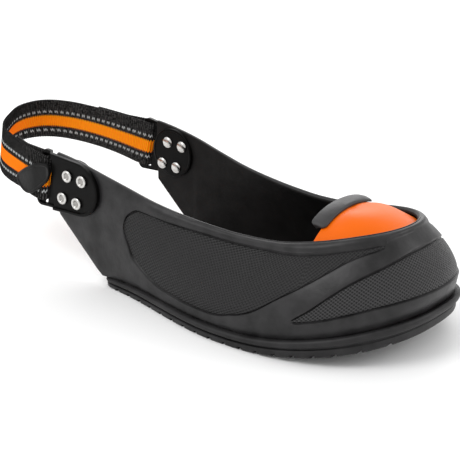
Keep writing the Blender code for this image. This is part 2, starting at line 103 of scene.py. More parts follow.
# Toe cap and its edge trim
CAP_GAP = 0.5
CAP_WALL = 2.0
CAP_START = 1.205
CAP_FOOT = 0.06
CAP_TOP = 0.96
CAP_ROWS = 16
CROWN_X = 143.5
CROWN_Z = 69.0
CROWN_POWER = 2.4
CROWN_SWELL = 2.0
TRIM_ENDS = (-25.8, 20.5)
TRIM_ROUND = 3.0
TRIM_END_SIZE = 0.55
TRIM_MID = (-2.0, 1.2)

# Strap, brackets and rivets
STRAP_WIDTH = 29.5
STRAP_THICK = 2.0
RIB_PITCH = 1.45
RIB_HIGH = 0.26
EDGE_SCALLOP = 0.018
STRAP_STEPS = 760
DASH_PITCH = 4.4
BAR_R = 2.8
BAR_X = -43.0
BAR_SLANT = 0.22
SLANT_END_X = -76.0
TAIL_END_NEAR = -79.0
TAIL_END_FAR = -87.0
TAIL_GAP = 0.3
TAIL_LOOSE = 7.0
TAIL_CLOSING = 12.0
FOLD_END = 98.0
SEAT_GAP = 0.3
BRACKET_BACK = 46.3
BRACKET_THICK = 2.6
BRACKET_LIP = 1.2
BRACKET_ROUND = 0.5
BRACKET_CORNER = 4.0
BRACKET_BEND = (-36.4, -39.6)
BRACKET_STEP = 3.2
BRACKET_REAR_X = -50.4
BRACKET_NOSE_X = -15.7
BRACKET_Z = 57.7
NOSE_TURN = math.radians(88)
SLOT_LONG = 3.1
SLOT_CUT = 30.0
PLATE_R = 15.9
PLATE_THICK = 1.6
PLATE_MID = (-19.6, 57.3)
PLATE_FACE = WING_Y - WALL - SEAT_GAP
RIVET_MID = (-19.7, 56.0)
RIVET_ROW = 11.8
RIVET_FALL = 0.9
RIVET_SKEW = 4.9
RIVET_RISE = 14.7
SHANK_R = 1.5
HEAD_R = 3.75
HEAD_HIGH = 1.6
RIVET_DISH = 2.1
RING_R = 2.85
RING_HALF = 0.9
RING_HIGH = 0.85
RING_SEAT = 0.75
BADGE_THICK = 1.8
BADGE_X = -69.0
BADGE_Z = 57.5
BADGE_LIFT = 0.6
BADGE_RIM = 1.6
BADGE_FADE = 3.0
BADGE_FULL = 6.5

# Bracket of each side: nose radius, nose height, half height, slot front, slot half height
BRACKETS = {"near": (16.6, 57.0, 18.4, -41.3, 16.6), "far": (14.6, 56.2, 17.6, -39.3, 15.3)}

# Rounded edge, lip and dish of a bracket: inset of the face, then its move outward
BRACKET_EDGE = [(0.25, 0.35), (0.4, 0.15), (1.1, 0.0), (0.3, -BRACKET_LIP)]

# Rounded edge of a backing plate: in from its rim, short of its full thickness
PLATE_EDGE = [(0.0, 0.6), (0.2, 0.2), (0.6, 0.0), (1.3, 0.0), (1.7, 0.3)]

# Side of the sole below its bead: inset from the outline, height
TREAD_EDGE = [(1.5, 0.0), (0.8, 0.5), (0.55, 1.2), (0.5, 4.3), (0.9, 4.8), (2.2, 5.1), (2.3, 5.6)]

# Height of the sole's side above its tread: x, height
SIDE_HIGH = [
    (0, 5.4),
    (28, 6.7),
    (60, 7.2),
    (90, 7.4),
    (112, 7.8),
    (130, 8.5),
    (145, 9.3),
    (160, 10.1),
    (175, 10.7),
    (190, 11.1),
    (206, 10.6),
]

# Collar edge: x, height, half width
COLLAR = [
    (-38, 75.6, 46.0),
    (-20, 73.2, 46.0),
    (0, 69.0, 46.0),
    (20, 64.1, 44.6),
    (40, 59.5, 43.5),
    (60, 56.6, 42.4),
    (80, 54.8, 41.2),
    (100, 54.0, 40.2),
    (125, 55.6, 39.7),
    (150, 60.5, 39.7),
    (170, 65.2, 39.7),
    (184.5, 68.0, 39.7),
]

# Swell of the wall: station, millimetres outward at mid height
SWELL = [(0, 0.0), (0.5, 3.5), (1, 6.0), (1.5, 8.2), (2, 9.4)]

# Panel lines up the wall: station, toe panel foot, toe panel head, side panel foot, side panel head
PANELS = [
    (-1.0, 0.10, 0.20, 0.34, 0.80),
    (0.10, 0.10, 0.20, 0.36, 0.80),
    (0.19, 0.10, 0.20, 0.44, 0.80),
    (0.25, 0.10, 0.19, 0.32, 0.85),
    (0.44, 0.05, 0.09, 0.165, 0.88),
    (0.61, 0.04, 0.07, 0.13, 0.905),
    (0.76, 0.04, 0.07, 0.125, 0.915),
    (0.96, 0.06, 0.10, 0.15, 0.92),
    (1.06, 0.11, 0.17, 0.265, 0.91),
    (1.15, 0.155, 0.205, 0.44, 0.90),
    (1.26, 0.196, 0.275, 0.588, 0.895),
    (1.38, 0.22, 0.46, 0.72, 0.90),
    (1.48, 0.25, 0.58, 0.80, 0.905),
    (1.63, 0.28, 0.68, 0.85, 0.90),
    (1.84, 0.29, 0.77, 0.86, 0.92),
    (2.0, 0.285, 0.79, 0.87, 0.93),
]

# Round ends of the panels: station of the tip, length of the rounding in stations
TOE_PANEL_TIP = (1.24, 0.04)
SIDE_PANEL_REAR = (0.165, 0.07)
SIDE_PANEL_FRONT = (1.705, 0.1)

# Groove round a panel: millimetres in from its edge, depth
PANEL_EDGE = [(-0.9, 0.0), (-0.4, 0.1), (0.0, 0.9), (0.35, 1.25), (0.8, 0.85), (1.3, 0.6)]
PANEL_DEPTH = 0.6

# Rows of points up the outside of the wall, from its foot to the top of its rim
FOOT_ROWS = 4
FIELD_ROWS = 7
BAND_ROWS = 4
RIM_ROWS = 6
LIP_ROWS = 8

# Rows down the inside of the wall
INSIDE = (0.985, 0.96, 0.92, 0.85, 0.75, 0.62, 0.48, 0.34, 0.2, 0.1, 0.04, 0.0)

# Section of the cap's trim: along the shoe from the cap's edge, height above it
TRIM_UNDER = [(2.8, 0.45), (-0.9, 0.35), (-4.6, -1.2)]
TRIM_TOP = [(-6.9, 1.8), (-6.2, 2.8), (-2.0, 3.0), (1.6, 2.4), (2.6, 1.7)]

# Stripes of the webbing, as shares of its width
ORANGE_STRIPE = (0.408, 0.682)
PALE_LINES = ((0.278, 0.322), (0.775, 0.819))

# Strap route seen from above, near side to far side: x, y, mid height, lean in degrees.
# The first NEAR_RUN rows are the near run.
NEAR_RUN = 6
STRAP = [
    (-45.5, -47.2, 58.2, 0),
    (-52, -47.0, 59.3, 0),
    (-60, -45.6, 60.4, 0),
    (-68, -43.5, 61.1, 1),
    (-76, -40.8, 61.4, 4),
    (-87, -36.4, 61.4, 6),
    (-99, -29.8, 61.2, 6),
    (-112, -19.0, 61.2, 8),
    (-124, -4.0, 61.8, 13),
    (-131, 8.0, 62.6, 16),
    (-133, 19.0, 63.1, 18),
    (-130, 30.0, 63.3, 17),
    (-122, 37.5, 63.2, 15),
    (-108, 42.4, 62.7, 12),
    (-90, 44.5, 61.8, 10),
    (-74, 44.8, 60.8, 7),
    (-60, 44.8, 59.6, 3),
    (-51, 44.8, 58.7, 0),
    (-43.5, 44.8, 58.1, 0),
]

# Badge on the near run of the strap: x from its rear end, low edge, high edge
BADGE = [
    (-1.0, -6.0, -2.8),
    (1.0, -8.0, -0.7),
    (5.0, -10.6, 1.9),
    (9.7, -11.5, 4.7),
    (14.9, -10.6, 7.1),
    (20.7, -7.2, 9.8),
    (25.0, -3.9, 10.9),
    (29.0, -0.6, 11.2),
    (31.2, 2.2, 10.5),
    (32.2, 5.2, 8.8),
]

# Edge of the badge, a raised rim round a sunk field: in from its outline, height
BADGE_EDGE = [
    (0.0, 0.0),
    (0.0, 0.9),
    (0.15, 1.35),
    (0.5, 1.7),
    (0.9, BADGE_THICK),
    (1.5, BADGE_THICK),
    (1.9, 1.6),
    (2.1, 1.3),
    (2.6, 1.25),
]

# Camera at the photograph's angle: place, azimuth and elevation in degrees, lens on a 36 mm sensor
CAMERA_PLACE = (0.47945, -0.562, 0.306)
CAMERA_TURN = (38.78, 20.55)
CAMERA_LENS = 102.5

# Soft lights: name, place, aim, size, power
LIGHTS = [
    ("key", (-0.3, -0.98, 1.2), (0, 0, 0.03), 0.7, 8),
    ("back", (-0.55, 1.05, 0.75), (0.05, 0, 0.05), 1.0, 7),
    ("edge", (0.8, 0.4, 0.5), (0.12, 0, 0.05), 0.4, 1.9),
]


# Measures and curves


def placed(point):
    """A point of the layout, in millimetres, as a point of the frame, in metres."""
    return Vector((REAR_X + point[0] * MM, point[1] * MM, point[2] * MM))


def ease(a):
    """Smooth step from 0 to 1."""
    a = min(1.0, max(0.0, a))
    return a * a * (3 - 2 * a)


def spread(first, last, count):
    """Even places from first to last."""
    return [first + (last - first) * k / (count - 1) for k in range(count)]


def along(table, at, column):
    """Smooth curve through one column of a table, whose first column is the place."""
    if at <= table[0][0]:
        return table[0][column]
    if at >= table[-1][0]:
        return table[-1][column]
    i = max(k for k in range(len(table) - 1) if table[k][0] <= at)
    slopes = []
    for k in (i, i + 1):
        a = table[max(0, k - 1)]
        b = table[min(len(table) - 1, k + 1)]
        slopes.append((b[column] - a[column]) / (b[0] - a[0]))
    start, stop = table[i], table[i + 1]
    span = stop[0] - start[0]
    t = (at - start[0]) / span
    rise = (3 - 2 * t) * t * t
    lead = t * (1 - t) * (1 - t) * span * slopes[0]
    tail = t * t * (1 - t) * span * slopes[1]
    return start[column] + (stop[column] - start[column]) * rise + lead - tail


def floor_z(x):
    """Height of the tread above the floor, which rises at the toe."""
    lift = max(0.0, x - SPRING_X) / (SOLE_LENGTH - SPRING_X)
    return TOE_SPRING * lift * lift


def oval(angle, power, x0, x1, half):
    """Point of a rounded-square quarter from the side at x0 to the tip at x1."""
    x = x0 + (x1 - x0) * math.sin(angle) ** (2 / power)
    y = half * max(0.0, math.cos(angle)) ** (2 / power)
    return x, y


def sole_outline(station, inset):
    """Half outline: stations 0 to 1 run along the side, 1 to 2 round the toe."""
    if station <= 1:
        half = REAR_HALF + (BALL_HALF - REAR_HALF) * ease(station)
        return BALL_X * station, half - inset
    angle = (station - 1) * math.pi / 2
    return oval(angle, TOE_POWER, BALL_X, SOLE_LENGTH - inset, BALL_HALF - inset)


def sole_top(x):
    """Height of the sole's side above its tread, which thins towards the rear edge."""
    return along(SIDE_HIGH, x, 1)


@functools.lru_cache(None)
def wall_foot(station):
    """Foot of the wall: stations -1 to 0 run along the wing, then as in sole_outline."""
    if station < 0:
        x = -WING_X * station
        y = WING_Y + (REAR_HALF - WELT_INSET - WING_Y) * ease(1 + 8 * station)
        return Vector((x, y, sole_top(0) - WELT_SINK - WING_RISE * x))
    x, y = sole_outline(station, WELT_INSET + WELT_EXTRA * ease(station))
    return Vector((x, y, floor_z(x) + sole_top(x) - WELT_SINK))


@functools.lru_cache(None)
def wall_collar(station):
    """Collar edge of the wall at a station."""
    if station > 1:
        angle = (station - 1) * math.pi / 2
        x, y = oval(angle, COLLAR_POWER, COLLAR_BALL_X, COLLAR_TIP_X, COLLAR_HALF)
        return Vector((x, y, along(COLLAR, x, 1)))
    x = -WING_X * station if station < 0 else COLLAR_BALL_X * station
    return Vector((x, along(COLLAR, x, 2), along(COLLAR, x, 1)))


@functools.lru_cache(None)
def outward(station):
    """Level direction out of the wall at a station."""
    if station <= 0:
        return Vector((0, 1, 0))
    if station >= 2:
        return Vector((1, 0, 0))
    step = 0.001
    before = wall_foot(station - step) + wall_collar(station - step)
    after = wall_foot(station + step) + wall_collar(station + step)
    run = after - before
    return Vector((-run.y, run.x, 0)).normalized()


@functools.lru_cache(None)
def swell_at(station):
    return along(SWELL, station, 1)


def wall_point(station, t):
    """Point of the wall's outside, t = 0 at its foot and 1 at its collar."""
    swell = swell_at(station) * 4 * t * (1 - t) * (1.15 - 0.3 * t)
    return wall_foot(station).lerp(wall_collar(station), t) + outward(station) * swell


def wall_normal(station, t):
    if station <= -0.02:
        return Vector((0, 1, 0))
    step = 0.004
    low = max(0.0, t - step)
    high = min(1.0, t + step)
    up = wall_point(station, high) - wall_point(station, low)
    if station >= 2 - step:
        round_toe = Vector((0, -1, 0))
    else:
        round_toe = wall_point(station + step, t) - wall_point(station - step, t)
    return up.cross(round_toe).normalized()


def wall_inside(station, t, depth):
    """Point at a depth inside the wall's surface, measured level at the foot."""
    point = wall_point(station, t)
    normal = wall_normal(station, t)
    if t < 0.1:
        normal = Vector((normal.x, normal.y, normal.z * t / 0.1)).normalized()
    return point - normal * depth


def mirrored(line):
    return [Vector((p.x, -p.y, p.z)) for p in line]


# Modelling by hand


def only(piece):
    """Makes a piece the one that the next operators act on."""
    bpy.ops.object.select_all(action="DESELECT")
    piece.select_set(True)
    bpy.context.view_layer.objects.active = piece


def edit(piece):
    only(piece)
    bpy.ops.object.mode_set(mode="EDIT")
    bpy.ops.mesh.select_all(action="SELECT")


def leave():
    bpy.ops.object.mode_set(mode="OBJECT")


def named(name):
    """The object that the last operator added, with its own name."""
    piece = bpy.context.object
    piece.name = name
    piece.data.name = name
    return piece


def formed_grid(name, lines, chart):
    """A grid laid over lines of points, one line a column, with its chart as the UV map."""
    columns = len(lines) - 1
    rows = len(lines[0]) - 1
    bpy.ops.object.select_all(action="DESELECT")
    bpy.ops.mesh.primitive_grid_add(x_subdivisions=columns, y_subdivisions=rows, size=2)
    piece = named(name)
    places = []
    for corner in piece.data.vertices:
        column = round((corner.co.x + 1) / 2 * columns)
        row = round((corner.co.y + 1) / 2 * rows)
        places.append((column, row))
        corner.co = placed(lines[column][row])
    sheet = piece.data.uv_layers.active
    for loop in piece.data.loops:
        column, row = places[loop.vertex_index]
        sheet.data[loop.index].uv = chart[column][row]
    return piece, places


def close_up(piece):
    """Welds the seam of a grid that was rolled into a sleeve, caps its ends and turns it outward."""
    edit(piece)
    bpy.ops.mesh.remove_doubles(threshold=0.001 * MM)
    bpy.ops.mesh.select_all(action="SELECT")
    bpy.ops.mesh.fill_holes(sides=0)
    bpy.ops.mesh.select_all(action="SELECT")
    bpy.ops.mesh.normals_make_consistent(inside=False)
    leave()


def smooth(piece, degrees):
    only(piece)
    bpy.ops.object.shade_smooth_by_angle(angle=math.radians(degrees))


def apply(piece, kind, **values):
    """Adds a modifier with these values and applies it."""
    only(piece)
    change = piece.modifiers.new(kind.title(), kind)
    for key, value in values.items():
        setattr(change, key, value)
    bpy.ops.object.modifier_apply(modifier=change.name)


def soften(piece, width, degrees):
    apply(
        piece,
        "BEVEL",
        width=width * MM,
        segments=3,
        limit_method="ANGLE",
        angle_limit=math.radians(degrees),
    )


def cut(piece, cutter):
    """Takes the cutter's shape out of a piece and throws the cutter away."""
    apply(piece, "BOOLEAN", operation="DIFFERENCE", solver="EXACT", object=cutter)
    bpy.data.objects.remove(cutter, do_unlink=True)


def lift_face(move, scale=None):
    """Extrudes the selected faces by a move in millimetres, then scales them."""
    bpy.ops.mesh.extrude_region_move(TRANSFORM_OT_translate={"value": [c * MM for c in move]})
    if scale is not None:
        bpy.ops.transform.resize(value=scale)


def turned(name, profile, count):
    """Solid of revolution about z: a round face lifted through (radius, height) steps."""
    radius, height = profile[0]
    bpy.ops.object.select_all(action="DESELECT")
    bpy.ops.mesh.primitive_circle_add(vertices=count, radius=radius * MM, fill_type="NGON")
    piece = named(name)
    edit(piece)
    bpy.ops.transform.translate(value=(0, 0, height * MM))
    for next_radius, next_height in profile[1:]:
        part = next_radius / radius
        lift_face((0, 0, next_height - height), (part, part, 1))
        radius, height = next_radius, next_height
    bpy.ops.mesh.select_all(action="SELECT")
    bpy.ops.mesh.normals_make_consistent(inside=False)
    leave()
    return piece


def outlined(name, outline):
    """A flat face with this outline of points."""
    bpy.ops.object.select_all(action="DESELECT")
    bpy.ops.mesh.primitive_circle_add(vertices=len(outline), radius=1, fill_type="NGON")
    piece = named(name)
    for corner, point in zip(piece.data.vertices, outline):
        corner.co = placed(point)
    return piece


def turn_over(piece):
    """Mirrors a piece to the other side of the shoe."""
    edit(piece)
    bpy.ops.transform.resize(value=(1, -1, 1), center_override=(0, 0, 0))
    bpy.ops.mesh.normals_make_consistent(inside=False)
    leave()


def clad(piece, *finishes):
    """Gives a piece its finishes, in the order of their slots."""
    for finish in finishes:
        piece.data.materials.append(finish.material)


def stands_for(piece, degrees, node):
    """Smooths a piece up to this angle, and has it ride and replace its node."""
    smooth(piece, degrees)
    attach(piece, "root")
    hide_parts(node)


# Finishes


class Finish:
    """A material and short ways to add and join its nodes."""

    def __init__(self, name, colour, roughness, **sockets):
        self.material = bpy.data.materials.new(name)
        self.material.use_nodes = True
        self.tree = self.material.node_tree
        self.shader = self.tree.nodes["Principled BSDF"]
        self.shader.inputs["Base Color"].default_value = (*colour, 1)
        self.shader.inputs["Roughness"].default_value = roughness
        for key, value in sockets.items():
            self.shader.inputs[key.replace("_", " ")].default_value = value
        self.relief = None

    def node(self, kind, **values):
        made = self.tree.nodes.new("ShaderNode" + kind)
        for key, value in values.items():
            setattr(made, key, value)
        return made

    def join(self, value, socket):
        """Feeds a socket from a node's output or with a constant."""
        if isinstance(value, (int, float)):
            socket.default_value = value
        else:
            self.tree.links.new(value, socket)

    def math(self, operation, a, b=0.0):
        made = self.node("Math", operation=operation)
        self.join(a, made.inputs[0])
        self.join(b, made.inputs[1])
        return made.outputs[0]

    def chart(self):
        """Place on the piece's UV map, as two outputs."""
        split = self.node("SeparateXYZ")
        self.join(self.node("TexCoord").outputs["UV"], split.inputs[0])
        return split.outputs[0], split.outputs[1]

    def noise(self, size, detail=3.0):
        """Soft noise with lumps of about this size in millimetres."""
        made = self.node("TexNoise")
        self.join(self.node("TexCoord").outputs["Object"], made.inputs["Vector"])
        made.inputs["Scale"].default_value = 1 / (size * MM)
        made.inputs["Detail"].default_value = detail
        return made.outputs["Fac"]

    def wave(self, place, pitch):
        """Sine from 0 to 1 along a place in metres, with its pitch in millimetres."""
        turn = self.math("SINE", self.math("MULTIPLY", place, 2 * math.pi / (pitch * MM)))
        return self.math("MULTIPLY_ADD", turn, 0.5)

    def scaled(self, value, low, high):
        """A value from 0 to 1 spread over low to high."""
        made = self.node("MapRange")
        self.join(value, made.inputs["Value"])
        made.inputs["To Min"].default_value = low
        made.inputs["To Max"].default_value = high
        return made.outputs["Result"]

    def mix(self, share, first, second):
        made = self.node("Mix", data_type="RGBA")
        self.join(share, made.inputs["Factor"])
        for value, socket in ((first, made.inputs["A"]), (second, made.inputs["B"])):
            if isinstance(value, tuple):
                socket.default_value = (*value, 1)
            else:
                self.join(value, socket)
        return made.outputs["Result"]

    def colour(self, value):
        self.join(value, self.shader.inputs["Base Color"])

    def rough(self, value):
        self.join(value, self.shader.inputs["Roughness"])

    def bump(self, height, depth):
        """Adds relief of this depth in millimetres, over what is there already."""
        made = self.node("Bump")
        made.inputs["Distance"].default_value = depth * MM
        self.join(height, made.inputs["Height"])
        if self.relief is not None:
            self.join(self.relief, made.inputs["Normal"])
        self.relief = made.outputs["Normal"]
        self.join(self.relief, self.shader.inputs["Normal"])

    def between(self, value, low, high):
        above = self.math("GREATER_THAN", value, low)
        below = self.math("LESS_THAN", value, high)
        return self.math("MULTIPLY", above, below)


def moulded(name, colour, roughness, shine):
    """Moulded rubber with a fine grain and a soft, uneven sheen."""
    finish = Finish(name, colour, roughness, Specular_IOR_Level=shine)
    finish.rough(finish.scaled(finish.noise(6), roughness - 0.1, roughness + 0.1))
    finish.bump(finish.noise(0.5), 0.05)
    finish.bump(finish.noise(3.5, 1.0), 0.12)
    return finish


def rubber(name, dark, light, roughness, shine):
    """Plain moulded rubber with a mottled bloom."""
    finish = moulded(name, dark, roughness, shine)
    finish.colour(finish.mix(finish.scaled(finish.noise(11, 5.0), -0.9, 1.9), dark, light))
    return finish


def hatched_rubber():
    """Side panels: rows of small hollows that climb towards the toe, with painted shade in each hollow.
    """
    field = (0.0165, 0.016, 0.0165)
    finish = moulded("hatched rubber", field, 0.5, 0.26)
    run, rise = finish.chart()
    climb = finish.wave(finish.math("SUBTRACT", finish.math("MULTIPLY", run, 0.67), rise), 2.1)
    cross = finish.wave(finish.math("ADD", finish.math("MULTIPLY", run, 0.9), rise), 2.1)
    pit_depth_and_shade = finish.math("MULTIPLY", climb, finish.scaled(cross, 0.3, 1.0))
    # Painted shade: the colour turns near black where each hollow sinks.
    finish.colour(finish.mix(pit_depth_and_shade, field, (0.0015, 0.0014, 0.0015)))
    finish.bump(finish.math("SUBTRACT", 1.0, pit_depth_and_shade), 0.4)
    return finish


def woven_rubber():
    """Toe panel: a basket weave, a raised lattice round small hollows, with painted light on the lattice
    and painted shade in the hollows.
    """
    lattice = (0.035, 0.034, 0.035)
    finish = moulded("woven rubber", lattice, 0.46, 0.32)
    run, rise = finish.chart()
    left = finish.wave(finish.math("ADD", finish.math("MULTIPLY", run, 0.8), rise), 1.9)
    right = finish.wave(finish.math("SUBTRACT", finish.math("MULTIPLY", run, 0.8), rise), 1.9)
    pit_depth_and_shade = finish.math("MULTIPLY", left, right)
    finish.bump(finish.math("SUBTRACT", 1.0, pit_depth_and_shade), 0.9)
    # Painted light and shade: the raised lattice is lighter than the plain rubber, and the colour turns
    # near black in each hollow.
    finish.colour(finish.mix(pit_depth_and_shade, lattice, (0.001, 0.001, 0.001)))
    return finish


def enamel():
    """Gloss orange enamel with a faint orange-peel surface."""
    finish = Finish(
        "orange enamel",
        (0.75, 0.122, 0.002),
        0.4,
        Specular_IOR_Level=0.06,
        Coat_Weight=0.14,
        Coat_Roughness=0.34,
    )
    finish.colour(finish.mix(finish.noise(20), (0.78, 0.13, 0.002), (0.72, 0.114, 0.001)))
    finish.bump(finish.noise(1.6, 1.0), 0.02)
    return finish


def webbing():
    """Ribbed black webbing with an orange stripe between two pale dashed lines."""
    finish = Finish("webbing", (0.01, 0.01, 0.011), 0.85, Specular_IOR_Level=0.08, Sheen_Weight=0.02)
    run, across = finish.chart()
    ribs = finish.wave(run, RIB_PITCH)
    ragged = finish.math("ADD", across, finish.scaled(ribs, -0.02, 0.02))
    orange = finish.between(ragged, *ORANGE_STRIPE)
    dash = finish.math("GREATER_THAN", finish.wave(run, DASH_PITCH), 0.38)
    low_line, high_line = [finish.between(ragged, *line) for line in PALE_LINES]
    pale = finish.math("MULTIPLY", finish.math("MAXIMUM", low_line, high_line), dash)
    # Painted shade: the colour is lighter on the rib crowns and darker between the ribs, on the black and
    # the orange alike; thread and specks are yarn tone.
    rib_shade = finish.scaled(ribs, 0.1, 1.5)
    thread = finish.noise(0.7)
    shade = finish.math("MULTIPLY", thread, rib_shade)
    specks = finish.scaled(finish.noise(1.0, 1.0), -1.0, 1.7)
    dots = finish.math("MULTIPLY", specks, rib_shade)
    black = finish.mix(dots, (0.001, 0.001, 0.001), (0.066, 0.063, 0.062))
    bright = finish.mix(shade, (0.98, 0.145, 0.0005), (1.0, 0.42, 0.002))
    striped = finish.mix(orange, black, bright)
    finish.colour(finish.mix(pale, striped, (0.4, 0.41, 0.41)))
    finish.bump(ribs, 0.35)
    finish.bump(thread, 0.12)
    return finish


def plastic(name, roughness):
    """Black moulded plastic with a light grain and faint handling marks."""
    finish = Finish(name, (0.0035, 0.0034, 0.0033), roughness, Specular_IOR_Level=0.07)
    finish.colour(finish.mix(finish.noise(5), (0.0018, 0.0017, 0.0016), (0.0054, 0.0052, 0.005)))
    finish.rough(finish.scaled(finish.noise(4), roughness - 0.08, roughness + 0.1))
    finish.bump(finish.noise(0.6), 0.02)
    return finish


def nickel(name, light, dark):
    """Nickel plate with fine rub marks."""
    finish = Finish(name, light, 0.2, Metallic=1.0)
    finish.colour(finish.mix(finish.noise(1.5), light, dark))
    finish.rough(finish.scaled(finish.noise(0.9), 0.14, 0.36))
    finish.bump(finish.noise(0.4), 0.01)
    return finish


# Sole


def sole_edge():
    """Steps of the sole's side from floor to top: inset from the outline, height."""
    steps = list(TREAD_EDGE)
    for k in range(11):
        q = -1 + 2 * k / 10
        inset = BEAD_BULGE * (1 - math.sqrt(1 - BEAD_ROUND * q * q))
        steps.append((inset, BEAD_MID + BEAD_HALF * q))
    steps.append((TOP_INSET, SOLE_THICK))
    return steps


def sole_half(inset, height):
    """Half outline of one level of the sole, rear edge to toe."""
    line = []
    for turn in spread(0, math.pi / 2, 9):
        x = inset + CORNER_R * (1 - math.sin(turn))
        line.append((x, REAR_HALF - inset - CORNER_R * (1 - math.cos(turn))))
    line.reverse()
    first = (inset + CORNER_R) / BALL_X
    line += [sole_outline(s, inset) for s in spread(first, 1.0, 50)[1:]]
    tuck = TREAD_TUCK if height < TREAD_TOP else 0.0
    line += [sole_outline(s, inset + tuck * ease(s - 1)) for s in spread(1.0, 2.0, 70)[1:]]
    return line


def level_points(inset, height):
    """Points of one level of the sole, in lines across it."""
    lines = []
    for x, half in sole_half(inset, height):
        z = floor_z(x) + height * sole_top(x) / SOLE_THICK
        lines.append([(x, half * across, z) for across in spread(-1, 1, 13)])
    return lines


def make_outsole(finish):
    """A flat plate lifted step by step through the sole's side, with channels cut in the tread."""
    steps = sole_edge()
    floor = level_points(*steps[0])
    chart = [[(p[0] * MM, p[1] * MM) for p in line] for line in floor]
    sole, places = formed_grid("outsole_moulded", floor, chart)
    column = sole.data.attributes.new("column", "INT", "POINT")
    row = sole.data.attributes.new("row", "INT", "POINT")
    for k, (c, r) in enumerate(places):
        column.data[k].value = c
        row.data[k].value = r
    edit(sole)
    for inset, height in steps[1:]:
        level = level_points(inset, height)
        lift_face((0, 0, 0.1))
        leave()
        column = sole.data.attributes["column"]
        row = sole.data.attributes["row"]
        for corner in sole.data.vertices:
            if corner.select:
                c = column.data[corner.index].value
                r = row.data[corner.index].value
                corner.co = placed(level[c][r])
        bpy.ops.object.mode_set(mode="EDIT")
    leave()
    close_up(sole)
    cut_tread(sole)
    clad(sole, finish)
    stands_for(sole, 38, "outsole")


def joined_bars(bars):
    """One cutter made of square bars: middle x, y, z and sizes along x, y, z."""
    made = []
    for x, y, z, *sizes in bars:
        bpy.ops.mesh.primitive_cube_add(size=1, location=placed((x, y, z)))
        bar = bpy.context.object
        bar.scale = [s * MM for s in sizes]
        made.append(bar)
    bpy.ops.object.select_all(action="DESELECT")
    for bar in made:
        bar.select_set(True)
    bpy.context.view_layer.objects.active = made[0]
    bpy.ops.object.transform_apply(location=True, rotation=True, scale=True)
    bpy.ops.object.join()
    return bpy.context.object


def cut_tread(sole):
    """Cross channels, which follow the toe spring, and two long ones."""
    bars = []
    for k in range(LUG_COUNT):
        x = LUG_FIRST + LUG_PITCH * k + LUG_SLOT / 2
        top = floor_z(x) + LUG_DEPTH
        bars.append((x, 0, top - CUTTER_TALL / 2, LUG_SLOT, CUTTER_WIDE, CUTTER_TALL))
    cut(sole, joined_bars(bars))
    rear, front = RIB_SLOT_ENDS
    middle = (rear + front) / 2
    bars = []
    for y in (-RIB_SLOT_Y, RIB_SLOT_Y):
        z = RIB_SLOT_DEPTH - CUTTER_TALL / 2
        bars.append((middle, y, z, front - rear, RIB_SLOT, CUTTER_TALL))
    cut(sole, joined_bars(bars))


# Upper


def stations():
    """Places along the wall, closer together at the panels' round ends."""
    places = spread(-1, 0, 25) + spread(0, 2, 161)[1:]
    for tip, width in (TOE_PANEL_TIP, SIDE_PANEL_REAR, SIDE_PANEL_FRONT):
        places = [s for s in places if abs(s - tip) > width]
        for k in range(1, 10):
            reach = width * (k / 9) ** 2
            places += [tip - reach, tip + reach]
    wing_end = [-1 + d / -WING_X for d in (0.12, 0.4, 0.9)]
    return sorted(places + wing_end)


def opening_at(station, tip, width):
    """How far a panel has opened from its round tip: 0 at the tip, 1 past the rounding."""
    away = abs(station - tip) / width
    return 1.0 if away >= 1 else max(0.03, math.sqrt(1 - (1 - away) ** 2))


def panel_edges(station, foot, head, opened, inside):
    """Rows over one panel: place up the wall and depth, from its foot to its head."""
    tall = (wall_collar(station) - wall_foot(station)).length
    middle = (foot + head) / 2
    half = (head - foot) / 2 * opened
    room = half * tall * GROOVE_ROOM / PANEL_EDGE[-1][0]
    share = ease(half * tall / GROOVE_FADE) if inside else 0.0
    rows = []
    for off, depth in PANEL_EDGE:
        reach = off * min(1.0, room) if off > 0 else off
        rows.append((half - reach / tall, depth * share))
    lower = [(middle - reach, depth) for reach, depth in rows]
    upper = [(middle + reach, depth) for reach, depth in reversed(rows)]
    inner = rows[-1][0]
    places = spread(middle - inner, middle + inner, FIELD_ROWS + 2)[1:-1]
    field = [(t, PANEL_DEPTH * share) for t in places]
    return lower + field + upper


def outer_rows(station):
    """Rows up the outside of the wall: place and depth."""
    toe_foot, toe_head, side_foot, side_head = [along(PANELS, station, c) for c in (1, 2, 3, 4)]
    toe_open = opening_at(station, *TOE_PANEL_TIP)
    side_open = min(opening_at(station, *SIDE_PANEL_REAR), opening_at(station, *SIDE_PANEL_FRONT))
    in_toe = station > TOE_PANEL_TIP[0]
    in_side = SIDE_PANEL_REAR[0] < station < SIDE_PANEL_FRONT[0]
    toe = panel_edges(station, toe_foot, toe_head, toe_open, in_toe)
    side = panel_edges(station, side_foot, side_head, side_open, in_side)
    first, last = side[0][0], toe[-1][0]
    if first < last:
        middle = (first + last) / 2
        toe = [(min(t, middle), d) for t, d in toe]
        side = [(max(t, middle), d) for t, d in side]
    band = [(t, 0.0) for t in spread(toe[-1][0], side[0][0], BAND_ROWS + 2)[1:-1]]
    rolled = RIM_ROLL * ease((station - ROLL_START) / ROLL_EASE)
    rim = []
    for part in spread(0, 1, RIM_ROWS + 1)[1:]:
        t = side[-1][0] + (1 - side[-1][0]) * part
        rim.append((t, -rolled * math.sin(math.pi * part) ** 0.8 if part < 1 else 0.0))
    return toe + band + side + rim


